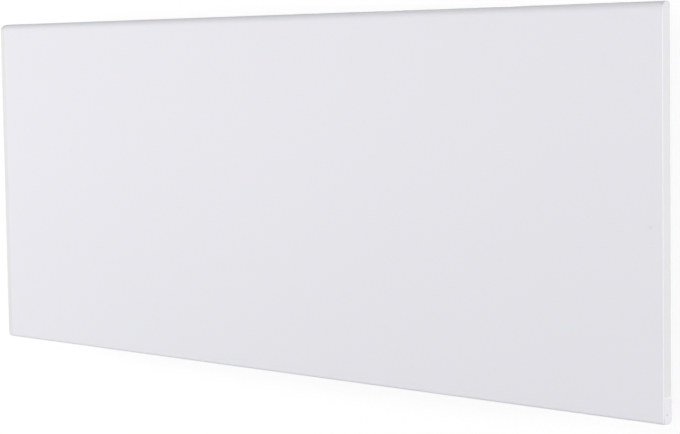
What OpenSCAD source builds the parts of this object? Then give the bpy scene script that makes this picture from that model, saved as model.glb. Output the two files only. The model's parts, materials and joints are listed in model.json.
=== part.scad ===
// Slim wall convector heater: a flat white front panel with end caps, a louvred convection
// casing behind it with a finned element, a control unit at its right end, and a wall bracket.
// The origin is at the middle of the bracket on the wall. +X is right, +Y into the wall, +Z up.

/* [Front panel] */
// Width over the end caps
panel_w = 846; // [780:2:1000]
// Height of the panel
panel_h = 330; // [316:2:380]
// Depth of the panel from its face to its back
panel_d = 10.5; // [10.5:0.5:13]
// Thickness of the painted front sheet
panel_sheet = 0.8; // [0.7:0.1:1.2]
// Outer radius of the top edge at the front
top_front_r = 6.5; // [3.5:0.5:6.5]
// Outer radius of the top edge at the back
top_rear_r = 4; // [3:0.5:4]
// Outer radius of the bottom edge at the front
bottom_front_r = 2.5; // [2:0.5:4]
// Outer radius of the bottom edge at the back
bottom_rear_r = 4.5; // [3:0.5:6]
// Height of the lips folded in behind the top and bottom edges
lip_h = 22; // [20:1:26]
// Distance between the stiffeners behind the front
stiffener_pitch = 250; // [200:10:270]
// Width of each stiffener over its feet
stiffener_w = 44; // [36:2:56]

/* [End caps] */
// Width of the left cap seen from the front
left_band = 6.5; // [5:0.5:9]
// Thickness of the right cap outside the panel
right_band = 1.4; // [1.4:0.2:3]
// Corner radius of the left cap in front view
left_corner_r = 5; // [3:0.5:5]
// Corner radius of the right cap in front view
right_corner_r = 1.2; // [0.6:0.2:1.2]
// Small rounding along the outer edges of both caps
cap_edge_r = 0.8; // [0.6:0.2:1.2]
// Length of the plug that goes into the end of the panel
plug_l = 6; // [5:0.5:8]
// Wall thickness of the plug
plug_wall = 2; // [1.6:0.2:2.4]

/* [Standby key] */
// Height of the key
key_h = 20.3; // [17:0.1:26]
// Gap between the key and the cap above it
key_gap = 0.3; // [0.3:0.1:1]
// How far the key stands out past the cap
key_proud = 0.6; // [0.3:0.1:1]
// Thickness of the key
key_t = 2.6; // [2.2:0.1:3]
// Rounding of the key's edges
key_edge_r = 0.5; // [0.5:0.1:1]
// Travel of the key
key_travel = 0.8; // [0.5:0.1:1]
// Radius of the light pipe in the key
key_lens_r = 0.8; // [0.6:0.1:1.4]
// Height of the light pipe above the bottom of the panel
key_lens_z = 7.6; // [5:0.1:9]
// Distance of the light pipe behind the face
key_lens_y = 4; // [3.5:0.1:6]

/* [Status light] */
// Distance of the status light from the right edge
status_x = 11.9; // [11.5:0.1:14]
// Height of the status light above the bottom of the panel
status_z = 154.5; // [100:0.5:200]
// Radius of the status light
status_r = 1.3; // [0.8:0.1:1.5]

/* [Convection casing] */
// Distance from the wall to the front face
total_d = 84; // [84:1:100]
// Distance from the wall to the back of the casing
casing_gap = 15; // [15:0.5:17]
// Distance of each end of the casing from the end of the panel
casing_inset = 48; // [44:1:60]
// Distance from the casing's top and bottom to the panel's
casing_margin = 25; // [22:0.5:27]
// Sheet thickness of the casing
casing_sheet = 0.9; // [0.7:0.1:1.2]
// Height of the fixing flanges at the front of the casing
flange_h = 18; // [16:0.5:18]
// Thickness of the heat shield that closes the panel's back
shield_t = 0.7; // [0.5:0.1:1]
// Thickness of the baffle inside the casing
baffle_t = 0.6; // [0.5:0.1:0.8]
// Depth of the outlet and of the inlet
grille_d = 42; // [36:1:44]
// Distance between the grilles' windows and the element brackets
grille_end = 15; // [13:1:24]
// Distance between the outlet louvres
louvre_pitch = 7; // [6:0.5:9]
// Thickness of each louvre blade
louvre_t = 1.2; // [1:0.1:1.6]
// Height of each louvre blade
louvre_h = 8; // [6:0.5:10]
// Lean of the louvre blades towards the room
louvre_lean = 28; // [10:1:35]
// Distance between the inlet slots
slot_pitch = 9; // [8:0.5:12]
// Width of the inlet slots
slot_w = 4; // [3:0.5:5]

/* [Heating element] */
// Radius of the heating rod
rod_r = 4; // [3:0.25:4.5]
// Distance between the two runs of the rod
rod_pitch = 22; // [20:1:24]
// Height of the rod above the casing's bottom
rod_z = 45; // [40:1:60]
// Depth of each fin
fin_d = 41; // [36:1:42]
// Height of each fin
fin_h = 30; // [24:1:36]
// Thickness of each fin
fin_t = 0.6; // [0.4:0.1:1]
// Distance between the fins
fin_pitch = 10; // [7:0.5:14]
// Distance from the casing's left end to the left element bracket
bracket_in = 38; // [34:1:60]
// Distance from the right element bracket to the control box
bracket_clear = 40; // [36:1:60]

/* [Controls] */
// Width of the control box inside the casing
box_w = 72; // [66:1:76]
// Depth of the control box
box_d = 42; // [42:0.5:44]
// Height of the control box
box_h = 115; // [112:1:126]
// Wall of the control box
box_wall = 2; // [1.6:0.2:2.4]
// Thickness of the control fascia
fascia_t = 3; // [2.4:0.2:3.6]
// Radius of the thermostat knob
knob_r = 16; // [14:0.5:18]
// Height of the thermostat knob
knob_h = 11; // [9:0.5:12]
// Turn of the thermostat knob
knob_turn = 270; // [240:10:300]
// Radius of the thermostat spindle
spindle_r = 3; // [2.5:0.25:3]
// Height of the rocker's opening
rocker_h = 19.2; // [18:0.2:22]
// Width of the rocker's opening
rocker_w = 13; // [12:0.2:15]
// Tilt of the rocker to each side of level
rocker_tilt = 9; // [6:1:10]
// Outer radius of the cable gland
gland_r = 8; // [7:0.25:9]
// Radius of the cable gland's bore
gland_bore_r = 3.6; // [3:0.1:4]

/* [Wall bracket] */
// Distance between the wall screws across
screw_span = 380; // [320:10:460]
// Distance between the wall screws up and down
screw_rise = 190; // [150:10:200]
// Radius of the wall screw holes
wall_hole_r = 2.75; // [2.25:0.25:3.5]
// Width of each bracket leg
leg_w = 36; // [32:1:44]
// Height of each bracket leg
leg_h = 232; // [226:2:240]
// Sheet thickness of the bracket
bracket_sheet = 1.5; // [1.2:0.1:2]
// Height of the hooks above and below the middle
hook_z = 78; // [70:1:84]
// Height of the hooks' tips over their seats
hook_tip = 9; // [7:0.5:10]
// How far the heater lifts to come off the hooks
lift = 12; // [11:0.5:14]
// Height of the bracket rails
rail_h = 28; // [24:1:34]

/* [Fastenings and clearances] */
// Radius of the casing screws
screw_r = 2; // [1.5:0.25:2.25]
// Clearance round a screw, a shaft or a sliding piece
fit = 0.1; // [0.05:0.05:0.15]
// Clearance between separate moving pieces
running_gap = 0.3; // [0.2:0.05:0.4]
// Radius of the insulated leads
lead_r = 1.2; // [1:0.1:1.4]

/* [Hidden] */

// Segments of a true round
$fn = 48;
// Overlap of a cut past the face that it opens
cut = 1;

// Planes of the panel and the casing
half_w = panel_w / 2;
half_h = panel_h / 2;
face_y = -total_d;
back_y = face_y + panel_d;
panel_x0 = -half_w + left_band;
panel_x1 = half_w - right_band;
lap_edge_r = 0.75 * panel_sheet;
casing_x0 = -half_w + casing_inset;
casing_x1 = half_w - casing_inset;
casing_w = casing_x1 - casing_x0;
casing_h = panel_h - 2 * casing_margin;
casing_y = -casing_gap;
casing_in_y = casing_y - casing_sheet;
casing_z0 = -casing_h / 2;
casing_z1 = casing_h / 2;
floor_z = casing_z0 + casing_sheet;
bend_r = 3;
fold_l = 11;
vent_pitch = 0.065 * casing_h;
vent_l = grille_d - 8;

// The heat shield lies against the lips, inside the panel
shield_y1 = back_y - panel_sheet;
shield_y0 = shield_y1 - shield_t;
shield_x0 = panel_x0 + plug_l + 0.5;
shield_x1 = panel_x1 - plug_l - 0.5;
shield_edge = 1;
cavity_y0 = face_y + panel_sheet;
cavity_d = shield_y0 - cavity_y0;
cavity_mid_y = cavity_y0 + cavity_d / 2;

// Screws through the casing's flanges, the lips and the shield
flange_screw_z = (casing_z1 + flange_h + half_h - lip_h) / 2;
flange_screw_n = 5;
flange_screw_pitch = (casing_w - 70) / (flange_screw_n - 1);
screw_head_r = screw_r * 2;
screw_head_h = 2.4;
bumper_r = 11;
bumper_pin_r = 3;

// Standby key at the foot of the right cap
key_z1 = -half_h + key_h;
key_x1 = half_w + key_proud;
key_x0 = key_x1 - key_t;
key_y0 = cavity_y0 + running_gap;
key_stop_x = key_x0 - key_travel - running_gap;
stem_d = 4;
stem_h = 3.6;
stem_z = -half_h + 13.5;
guide_wall = 2.2;
barb_h = 0.8;
plug_x0 = panel_x1 - plug_l;

// Signal board inside the right end of the panel
board_t = 1.2;
board_y1 = shield_y0 - 0.4;
board_y0 = board_y1 - board_t;
groove_depth = 2;
signal_x1 = plug_x0 + groove_depth - fit;
signal_w = 15.5;
signal_x0 = signal_x1 - signal_w;
signal_z0 = -half_h + panel_sheet + 3;
signal_z1 = -half_h + status_z + 14;
switch_w = 6;
switch_d = 4.2;
switch_x1 = plug_x0 - 9;
switch_x0 = switch_x1 - switch_w;
plunger_r = 1.6;
stem_x0 = plug_x0 - 5.5;
status_px = half_w - status_x;
status_pz = -half_h + status_z;

// Outlet, inlet and element along the heating side
bracket_x0 = casing_x0 + bracket_in;
bracket_x1 = casing_x1 - box_w - bracket_clear;
grille_x0 = bracket_x0 + grille_end;
grille_x1 = bracket_x1 - grille_end;
grille_w = grille_x1 - grille_x0;
grille_y = (back_y + casing_in_y) / 2;
grille_lap = 5;
grille_plate = 1.2;
rod_pz = casing_z0 + rod_z;
rod_y = grille_y - 3.5;
bracket_t = 1.2;
bush_r = rod_r + 3.4;
fin_gap = 12;
rod_x0 = bracket_x0 - 8;
rod_x1 = bracket_x1 + 8;
insulator_l = 8;
pin_r = 2;
pin_l = 7;

// Rear baffle between the element and the casing's back
baffle_gap = 8;
baffle_y1 = casing_y - baffle_gap;
baffle_y0 = baffle_y1 - baffle_t;
baffle_h = casing_h - 44;
baffle_lip = 9;

// Control unit at the right end
box_x1 = casing_x1;
box_x0 = box_x1 - box_w;
box_y = grille_y - 0.5;
box_z0 = casing_z0 + 3;
box_z1 = box_z0 + box_h;
fascia_x0 = casing_x1;
fascia_x1 = fascia_x0 + fascia_t;
fascia_d = box_d + 8;
fascia_h = box_h + 2;
knob_z = box_z0 + 0.68 * box_h;
knob_x0 = fascia_x1 + running_gap;
knob_x1 = knob_x0 + knob_h;
rocker_z = box_z0 + 0.28 * box_h;
connector_z = knob_z - 4;
pot_w = 16;
pot_l = 9;
board_x1 = fascia_x0 - 19;
board_x0 = board_x1 - 1.6;
gland_x = box_x0 + 22;
gland_z0 = casing_z0 - 6;
gland_z1 = box_z0 + box_wall + 7;
board_half_h = 0.24 * box_h;
board_post_z = board_half_h - 4;
board_post_y = 13;
relay_d = 15.5;
supply_d = 17;
relay_z0 = knob_z - board_half_h + 2;
terminal_z = 0.29 * box_h;
clamp_pitch = 9.5;
clamp_depth = 7.6;
earth_hole_z = box_z0 + 14;
rocker_pin_r = 1.2;
switch_l = 17;
blade_l = 24;
blade_gap = 6;
rocker_px = fascia_x1 - 1.2;
earth_x = box_x0 - 13;
earth_y = box_y + 22;
cutout_in = 96;
cutout_blade_h = 12;
cutout_x = bracket_x1 - cutout_in;
cutout_z = rod_pz + fin_h / 2 + 22;
cutout_y = rod_y;
sensor_x = box_x1 - 20;
sensor_r = 3;
grommet_z = rod_pz + 8;
grommet_r = 5.5;
fascia_screw_y = box_d / 2 - 5;
fascia_screw_z = box_h / 2 - 5;
fascia_screw_r = 1.5;
fascia_screw_l = 11;
fascia_head_r = 2.8;
fascia_head_h = 1.2;

// Bracket legs, hooks and rails
leg_x = screw_span / 2;
leg_d = casing_gap - 1.2;
hook_floor = 3;
hook_reach = casing_sheet + 3.6;
hook_lip = 2.2;
hook_slot_w = bracket_sheet + 2;
rail_z = leg_h / 2 - 26;
rivet_r = 2.4;

// Pressed beads that stiffen the casing's back, as X, Z and length
back_bead_h = 12;
back_bead_rise = 1;
back_bead_z = 0.22 * casing_h;
back_bead_end = 45;
back_beads = [
  for (s = [-1, 1], z = [-1, 0, 1])
    [s * (leg_x + casing_w / 2) / 2, z * back_bead_z, casing_w / 2 - leg_x - 2 * back_bead_end],
  for (z = [-1, 0, 1]) [0, z * back_bead_z, 2 * leg_x - 2 * back_bead_end]
];

// A rectangle whose corners have four radii, from the low corner round to the left upper one
module rounded_rect(x0, y0, x1, y1, r) {
  polygon([
    [x0 + r[0], y0], [x1 - r[1], y0], [x1, y0 + r[1]], [x1, y1 - r[2]],
    [x1 - r[2], y1], [x0 + r[3], y1], [x0, y1 - r[3]], [x0, y0 + r[0]]
  ]);
  if (r[0] > 0) translate([x0 + r[0], y0 + r[0]]) rotate(180) quarter(r[0]);
  if (r[1] > 0) translate([x1 - r[1], y0 + r[1]]) rotate(270) quarter(r[1]);
  if (r[2] > 0) translate([x1 - r[2], y1 - r[2]]) quarter(r[2]);
  if (r[3] > 0) translate([x0 + r[3], y1 - r[3]]) rotate(90) quarter(r[3]);
}

// A quarter of a round, to the right of and above its centre
module quarter(r) {
  intersection() {
    circle(r);
    square(r);
  }
}

// A slot with round ends, centred, w long over its ends and h high
module stadium(w, h) {
  square([w - h, h], center = true);
  for (s = [-1, 1]) translate([s * (w - h) / 2, 0]) circle(h / 2);
}

// A flat outline in Y and Z carried along X
module along_x(x0, x1) {
  translate([x0, 0, 0]) rotate([90, 0, 90]) linear_extrude(x1 - x0) children();
}

// A flat outline in X and Z carried along Y
module along_y(y0, y1) {
  translate([0, y1, 0]) rotate([90, 0, 0]) linear_extrude(y1 - y0) children();
}

// A flat outline in X and Y carried along Z
module along_z(z0, z1) {
  translate([0, 0, z0]) linear_extrude(z1 - z0) children();
}

// A block between two corners
module block(a, b) {
  translate(a) cube(b - a);
}

// Side outline of the panel, drawn inwards by inset
module panel_outline(inset = 0) {
  rounded_rect(
    face_y + inset, -half_h + inset, back_y - inset, half_h - inset,
    [for (r = [bottom_front_r, bottom_rear_r, top_rear_r, top_front_r]) max(r - inset, 0)]
  );
}

// The places of the flange screws in X and Z
module at_flange_screws() {
  for (i = [0 : flange_screw_n - 1], s = [-1, 1])
    translate([(i - (flange_screw_n - 1) / 2) * flange_screw_pitch, 0, s * flange_screw_z])
      children();
}

// Holes for the flange screws between two depths
module flange_screw_holes(y0, y1) {
  at_flange_screws() along_y(y0, y1) circle(screw_r + fit);
}

// A round bar of leads, swept along chosen points
function unit(v) = v / norm(v);
function curve_point(a, b, c, d, t) =
  0.5 * (2 * b + (c - a) * t + (2 * a - 5 * b + 4 * c - d) * t * t
    + (3 * b - a - 3 * c + d) * t * t * t);
function smooth(p, steps) = [
  for (i = [0 : len(p) - 2], k = [0 : steps - 1])
    curve_point(p[max(i - 1, 0)], p[i], p[i + 1], p[min(i + 2, len(p) - 1)], k / steps),
  p[len(p) - 1]
];
module lead(points, r, steps = 4, sides = 8) {
  path = smooth(points, steps);
  n = len(path);
  tangent = [for (i = [0 : n - 1]) unit(path[min(i + 1, n - 1)] - path[max(i - 1, 0)])];
  first = abs(tangent[0].x) > 0.8 ? [0, 0, 1] : [1, 0, 0];
  side = [
    for (i = 0, s = unit(cross(tangent[0], first)); i < n; i = i + 1,
      s = i < n ? unit(s - (s * tangent[i]) * tangent[i]) : s) s
  ];
  ring = [
    for (i = [0 : n - 1], k = [0 : sides - 1])
      path[i] + r * (cos(360 * k / sides) * side[i]
        + sin(360 * k / sides) * cross(tangent[i], side[i]))
  ];
  skin = [
    for (i = [0 : n - 2], k = [0 : sides - 1])
      let (a = i * sides + k, b = i * sides + (k + 1) % sides)
        each [[a, b + sides, b], [a, a + sides, b + sides]]
  ];
  start = [for (k = [1 : sides - 2]) [0, k, k + 1]];
  last = (n - 1) * sides;
  end = [for (k = [1 : sides - 2]) [last, last + k + 1, last + k]];
  polyhedron(points = ring, faces = concat(skin, start, end), convexity = 6);
}

// Front sheet with rounded top and bottom edges and lips folded in behind.
// Its face laps over the front of the right cap.
module front_panel() {
  color("whitesmoke") difference() {
    intersection() {
      along_x(panel_x0, half_w) difference() {
        panel_outline();
        panel_outline(panel_sheet);
        translate([back_y - panel_sheet - cut, -half_h + lip_h])
          square([panel_sheet + 2 * cut, panel_h - 2 * lip_h]);
      }
      along_z(-half_h - cut, half_h + cut)
        rounded_rect(panel_x0 - cut, face_y, half_w, back_y + cut, [0, lap_edge_r, 0, 0]);
    }
    // Room for the cap behind the lap
    block([panel_x1, cavity_y0, -half_h - cut], [half_w + cut, back_y + cut, half_h + cut]);
    translate([status_px, 0, status_pz])
      along_y(face_y - cut, cavity_y0 + cut) circle(status_r + fit);
    flange_screw_holes(back_y - panel_sheet - cut, back_y + cut);
    // Notch in the folded edge and its lip for the key
    block([key_stop_x, cavity_y0, -half_h - cut],
      [panel_x1 + cut, back_y + cut, -half_h + lip_h + cut]);
  }
}

// Three hat sections that stiffen the front sheet
module panel_stiffeners() {
  t = 0.8;
  foot = stiffener_w / 4;
  crown = stiffener_w - 2 * foot;
  color("silver") for (i = [-1 : 1]) difference() {
    along_z(-half_h + lip_h - 2, half_h - lip_h + 2)
      translate([i * stiffener_pitch, cavity_y0]) {
        for (s = [-1, 1]) {
          translate([s * (stiffener_w / 2 - foot / 2) - foot / 2, 0]) square([foot, t]);
          translate([s * (crown / 2 + t / 2) - t / 2, 0]) square([t, cavity_d]);
        }
        translate([-crown / 2 - t, cavity_d - t]) square([crown + 2 * t, t]);
      }
    for (k = [-2 : 2])
      translate([i * stiffener_pitch, 0, k * 0.15 * panel_h])
        along_y(shield_y0 - t - cut, shield_y0 + cut) circle(5);
  }
}

// Sheet that closes the back of the panel and keeps its face cool
module heat_shield() {
  bead_l = 0.42 * casing_w;
  bead_x = 0.44 * casing_w / 2 + 15;
  bead_z = 0.145 * panel_h;
  bead_h = 10;
  bead_rise = 1.2;
  color("gainsboro") difference() {
    union() {
      along_y(shield_y0, shield_y1)
        rounded_rect(shield_x0, -half_h + bottom_rear_r + shield_edge, shield_x1,
          half_h - top_rear_r - shield_edge, [3, 3, 3, 3]);
      for (i = [-1, 1], k = [-2 : 2])
        translate([i * bead_x, 0, k * bead_z])
          along_y(shield_y1 - 0.2, shield_y1 + bead_rise) stadium(bead_l, bead_h);
    }
    for (i = [-1, 1], k = [-2 : 2])
      translate([i * bead_x, 0, k * bead_z])
        along_y(shield_y0 - cut, shield_y0 + bead_rise)
          stadium(bead_l - 2 * shield_t, bead_h - 2 * shield_t);
    flange_screw_holes(shield_y0 - cut, shield_y1 + cut);
    translate([box_x1 - 12, 0, connector_z])
      along_y(shield_y0 - cut, shield_y1 + 2 * cut) circle(lead_r + 2.4);
  }
}

// Outer block of a cap: the panel's side outline, rounded in front view and in plan
module cap_block(x0, x1, r0, r1) {
  e0 = r0 > 0 ? cap_edge_r : 0;
  e1 = r1 > 0 ? cap_edge_r : 0;
  intersection() {
    along_x(x0, x1) panel_outline();
    along_y(face_y - cut, back_y + cut)
      rounded_rect(x0, -half_h, x1, half_h, [r0, r1, r1, r0]);
    along_z(-half_h - cut, half_h + cut)
      rounded_rect(x0, face_y, x1, back_y, [e0, e1, e1, e0]);
  }
}

// The plug of a cap: an open frame that fits inside the end of the panel
module cap_plug(x0, x1) {
  along_x(x0, x1) difference() {
    panel_outline(panel_sheet + fit);
    panel_outline(panel_sheet + fit + plug_wall);
  }
}

// Left moulded end cap
module left_end_cap() {
  rib_pitch = 0.133 * panel_h;
  color("whitesmoke") {
    cap_block(-half_w, panel_x0, left_corner_r, 0);
    cap_plug(panel_x0 - 0.01, panel_x0 + plug_l);
    for (k = [-3 : 3])
      block([panel_x0 - 0.01, cavity_y0 + 1, k * rib_pitch - 1],
        [panel_x0 + plug_l - 2, back_y - 2, k * rib_pitch + 1]);
  }
}

// Right moulded end cap, cut away at the foot for the key, with the board's card guide
module right_end_cap() {
  stem_y = [cavity_mid_y - stem_d / 2 - running_gap, cavity_mid_y + stem_d / 2 + running_gap];
  color("whitesmoke") difference() {
    union() {
      cap_block(panel_x1, half_w, 0, right_corner_r);
      cap_plug(plug_x0, panel_x1 + 0.01);
      // Thick foot that guides the key's stem
      block([key_stop_x - guide_wall, cavity_y0 + 1, -half_h + 2],
        [key_stop_x, back_y - 2, key_z1 + 3]);
      // Card guide for the signal board
      intersection() {
        block([plug_x0, board_y0 - 1.4, signal_z0 - 1], [panel_x1, back_y - 1.2, signal_z1 + 1.5]);
        along_x(plug_x0, panel_x1) panel_outline(panel_sheet + fit);
      }
    }
    // The panel's lap lies in front of the cap
    block([panel_x1 - cut, face_y - cut, -half_h - cut],
      [half_w + cut, cavity_y0 + fit / 2, half_h + cut]);
    // Place of the key
    block([key_stop_x, face_y - cut, -half_h - cut],
      [half_w + cut, back_y + cut, key_z1 + key_gap]);
    block([plug_x0 - cut, board_y0 - fit, signal_z0 - fit],
      [plug_x0 + groove_depth, board_y1 + fit, signal_z1 + fit]);
    // Way for the key's stem, wider for its barb behind the foot
    block([plug_x0 - cut, stem_y[0], stem_z - stem_h / 2 - running_gap],
      [panel_x1 + cut, stem_y[1], stem_z + stem_h / 2 + running_gap]);
    block([plug_x0 - cut, stem_y[0], stem_z],
      [key_stop_x - guide_wall, stem_y[1], stem_z + stem_h / 2 + barb_h + running_gap]);
  }
}

// Push key with its guide stem and snap barb
module standby_key() {
  barb_x = key_stop_x - guide_wall - running_gap;
  color("white") difference() {
    union() {
      intersection() {
        along_x(key_x0, key_x1) panel_outline();
        along_z(-half_h - cut, key_z1)
          rounded_rect(key_x0, key_y0, key_x1, back_y, [0, key_edge_r, key_edge_r, 0]);
        along_y(key_y0, back_y)
          rounded_rect(key_x0, -half_h, key_x1, key_z1, [0, right_corner_r, key_edge_r, 0]);
      }
      block([stem_x0, cavity_mid_y - stem_d / 2, stem_z - stem_h / 2],
        [key_x0 + 0.5, cavity_mid_y + stem_d / 2, stem_z + stem_h / 2]);
      // Snap barb behind the cap's foot
      along_y(cavity_mid_y - stem_d / 2, cavity_mid_y + stem_d / 2)
        polygon([
          [barb_x, stem_z],
          [barb_x, stem_z + stem_h / 2 + barb_h],
          [barb_x - 2.1, stem_z + stem_h / 2],
          [barb_x - 2.1, stem_z]
        ]);
    }
    translate([0, face_y + key_lens_y, -half_h + key_lens_z])
      along_x(key_x1 - 2 - fit, key_x1 + cut) circle(key_lens_r + fit);
  }
}

// Light pipe in the key
module key_lens() {
  color("gray") translate([0, face_y + key_lens_y, -half_h + key_lens_z])
    along_x(key_x1 - 2, key_x1) circle(key_lens_r);
}

// Plunger of the key's switch, which the stem pushes
module key_plunger() {
  color("dimgray") translate([0, cavity_mid_y, stem_z])
    along_x(switch_x1 - 2.5, stem_x0) circle(plunger_r);
}

// Switch under the key, on the signal board
module key_switch() {
  color("black") difference() {
    block([switch_x0, board_y0 - switch_d, stem_z - switch_w / 2],
      [switch_x1, board_y0, stem_z + switch_w / 2]);
    translate([0, cavity_mid_y, stem_z])
      along_x(switch_x1 - 2.5 - key_travel - running_gap, switch_x1 + cut) circle(plunger_r + fit);
  }
}

// Narrow circuit board with the status light and the cable's connector
module signal_board() {
  color("darkgreen") difference() {
    union() {
      block([signal_x0, board_y0, signal_z0], [signal_x1, board_y1, signal_z1]);
      block([status_px - 1.8, board_y0 - 1.2, status_pz - 1.4],
        [status_px + 1.8, board_y0, status_pz + 1.4]);
      block([signal_x0 + 0.5, board_y0 - 3.6, connector_z - 5],
        [signal_x0 + 6.5, board_y0, connector_z + 5]);
    }
    for (z = [signal_z0 + 30, signal_z1 - 30])
      translate([signal_x0 + 4, 0, z]) along_y(board_y0 - cut, board_y1 + cut) circle(1.1);
  }
}

// Light pipe in the front
module status_lens() {
  color("gray") translate([status_px, 0, status_pz]) {
    along_y(face_y, board_y0 - 1.2 - 0.2) circle(status_r);
    along_y(cavity_y0, cavity_y0 + 0.8) circle(status_r + 0.6);
  }
}

// Side outline of the casing: back, top and bottom walls with flanges at the front
module casing_outline() {
  difference() {
    rounded_rect(back_y, casing_z0, casing_y, casing_z1, [0, bend_r, bend_r, 0]);
    rounded_rect(back_y - cut, floor_z, casing_in_y, casing_z1 - casing_sheet,
      [0, bend_r - casing_sheet, bend_r - casing_sheet, 0]);
  }
  for (s = [-1, 1])
    translate([back_y, s * (casing_z1 + flange_h / 2 - casing_sheet / 2)])
      translate([0, -(flange_h + casing_sheet) / 2])
        square([casing_sheet, flange_h + casing_sheet]);
}

// Places of the hooks on the legs, as X and Z
function hook_places() = [
  for (s = [-1, 1], f = [-1, 1], z = [-1, 1])
    [s * leg_x + f * (leg_w - bracket_sheet) / 2, z * hook_z]
];

// Folded steel casing
module rear_casing() {
  color("whitesmoke") difference() {
    union() {
      along_x(casing_x0, casing_x1) casing_outline();
      for (b = back_beads) translate([b[0], 0, b[1]])
        along_y(casing_y - 0.01, casing_y + back_bead_rise) stadium(b[2], back_bead_h);
    }
    for (b = back_beads) translate([b[0], 0, b[1]])
      along_y(casing_in_y - cut, casing_in_y + back_bead_rise)
        stadium(b[2] - 2 * casing_sheet, back_bead_h - 2 * casing_sheet);
    // Windows of the outlet and the inlet
    for (z = [casing_z1 - casing_sheet, casing_z0])
      block([grille_x0, grille_y - grille_d / 2, z - cut],
        [grille_x1, grille_y + grille_d / 2, z + casing_sheet + cut]);
    // Slots that the hooks go through
    for (p = hook_places())
      translate([p.x, 0, p.y]) block([-hook_slot_w / 2, casing_in_y - cut, -hook_floor - lift - 1.5],
        [hook_slot_w / 2, casing_y + cut, 0]);
    // Holes for the screws, the gland, the sensor and the bumpers
    flange_screw_holes(back_y - cut, back_y + casing_sheet + cut);
    translate([gland_x, box_y, casing_z0 - cut]) cylinder(r = gland_r - 2 + fit, h = 4);
    translate([sensor_x, box_y, casing_z0 - cut]) cylinder(r = sensor_r + fit, h = 4);
    at_bumpers() along_y(casing_in_y - cut, casing_y + cut) circle(bumper_pin_r + fit);
    at_bracket_screws() translate([0, 0, casing_z0 - cut]) cylinder(r = screw_r + fit, h = 4);
    translate([earth_x, earth_y, casing_z0 - cut]) cylinder(r = screw_r + fit, h = 4);
  }
}

// Air outlet: long leaning blades between cross ribs in a frame
module outlet_grille() {
  n = floor((grille_d - louvre_h * sin(louvre_lean) - 2) / louvre_pitch);
  ribs = ceil(grille_w / 54);
  top_z = casing_z1 + grille_plate;
  color("white") {
    along_z(casing_z1, top_z) difference() {
      rounded_rect(grille_x0 - grille_lap, grille_y - grille_d / 2 - grille_lap,
        grille_x1 + grille_lap, grille_y + grille_d / 2 + grille_lap, [3, 3, 3, 3]);
      translate([grille_x0 + 2, grille_y - grille_d / 2 + 2])
        square([grille_w - 4, grille_d - 4]);
    }
    // Rim that locates the frame in the casing's window
    along_z(casing_z1 - casing_sheet - 3, casing_z1 + 0.01) difference() {
      translate([grille_x0 + fit, grille_y - grille_d / 2 + fit])
        square([grille_w - 2 * fit, grille_d - 2 * fit]);
      translate([grille_x0 + 2, grille_y - grille_d / 2 + 2])
        square([grille_w - 4, grille_d - 4]);
    }
    for (i = [0 : n - 1])
      along_x(grille_x0 + 1, grille_x1 - 1)
        translate([grille_y + (i - (n - 1) / 2) * louvre_pitch, top_z - louvre_h / 2])
          rotate(louvre_lean) {
            square([louvre_t, louvre_h - louvre_t], center = true);
            for (s = [-1, 1]) translate([0, s * (louvre_h - louvre_t) / 2]) circle(louvre_t / 2);
          }
    for (i = [1 : ribs - 1])
      translate([grille_x0 + i * grille_w / ribs, 0, 0])
        block([-0.8, grille_y - grille_d / 2 + 1, casing_z1 - casing_sheet - 3],
          [0.8, grille_y + grille_d / 2 - 1, top_z - 0.6]);
  }
}

// Air inlet: a pressed plate with a row of slots
module inlet_grille() {
  n = floor((grille_w - 12) / slot_pitch);
  color("white") difference() {
    union() {
      along_z(casing_z0 - grille_plate, casing_z0)
        rounded_rect(grille_x0 - grille_lap, grille_y - grille_d / 2 - grille_lap,
          grille_x1 + grille_lap, grille_y + grille_d / 2 + grille_lap, [3, 3, 3, 3]);
      along_z(casing_z0 - 0.01, floor_z + 1.2) difference() {
        translate([grille_x0 + fit, grille_y - grille_d / 2 + fit])
          square([grille_w - 2 * fit, grille_d - 2 * fit]);
        translate([grille_x0 + 1.2, grille_y - grille_d / 2 + 1.2])
          square([grille_w - 2.4, grille_d - 2.4]);
      }
    }
    for (i = [0 : n - 1])
      translate([(grille_x0 + grille_x1) / 2 + (i - (n - 1) / 2) * slot_pitch, grille_y,
        casing_z0 - grille_plate - cut])
        linear_extrude(grille_plate + 2 * cut) rotate(90) stadium(grille_d - 8, slot_w);
  }
}

// End of the casing: a plate with folded edges, in millimetres from the end inwards
module end_tray(inward) {
  x_out = 0;
  x_in = inward * casing_sheet;
  z1 = casing_z1 - casing_sheet - fit;
  z0 = floor_z + fit;
  y1 = casing_in_y - fit;
  y0 = shield_y1 + 0.2;
  r = bend_r - casing_sheet - fit;
  along_x(min(x_out, x_in), max(x_out, x_in)) rounded_rect(y0, z0, y1, z1, [0, r, r, 0]);
  along_x(min(x_out, inward * fold_l), max(x_out, inward * fold_l)) difference() {
    rounded_rect(y0, z0, y1, z1, [0, r, r, 0]);
    rounded_rect(y0 - cut, z0 + casing_sheet, y1 - casing_sheet, z1 - casing_sheet,
      [0, max(r - casing_sheet, 0), max(r - casing_sheet, 0), 0]);
  }
}

// Left end of the casing, with a column of vents
module casing_end_left() {
  color("whitesmoke") translate([casing_x0, 0, 0]) difference() {
    end_tray(1);
    for (k = [-5 : 5])
      translate([0, grille_y, k * vent_pitch]) along_x(-cut, casing_sheet + cut)
        stadium(vent_l, slot_w);
  }
}

// Right end of the casing, with the window for the control box
module casing_end_right() {
  color("whitesmoke") translate([casing_x1, 0, 0]) difference() {
    end_tray(-1);
    block([-casing_sheet - cut, box_y - box_d / 2 - fit, box_z0 - fit],
      [cut, box_y + box_d / 2 + fit, box_z1 + fit]);
    for (z = [box_z1 + 1.5 * vent_pitch : vent_pitch : casing_z1 - 2 * vent_pitch])
      translate([0, grille_y, z]) along_x(-casing_sheet - cut, cut) stadium(vent_l, slot_w);
  }
}

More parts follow.
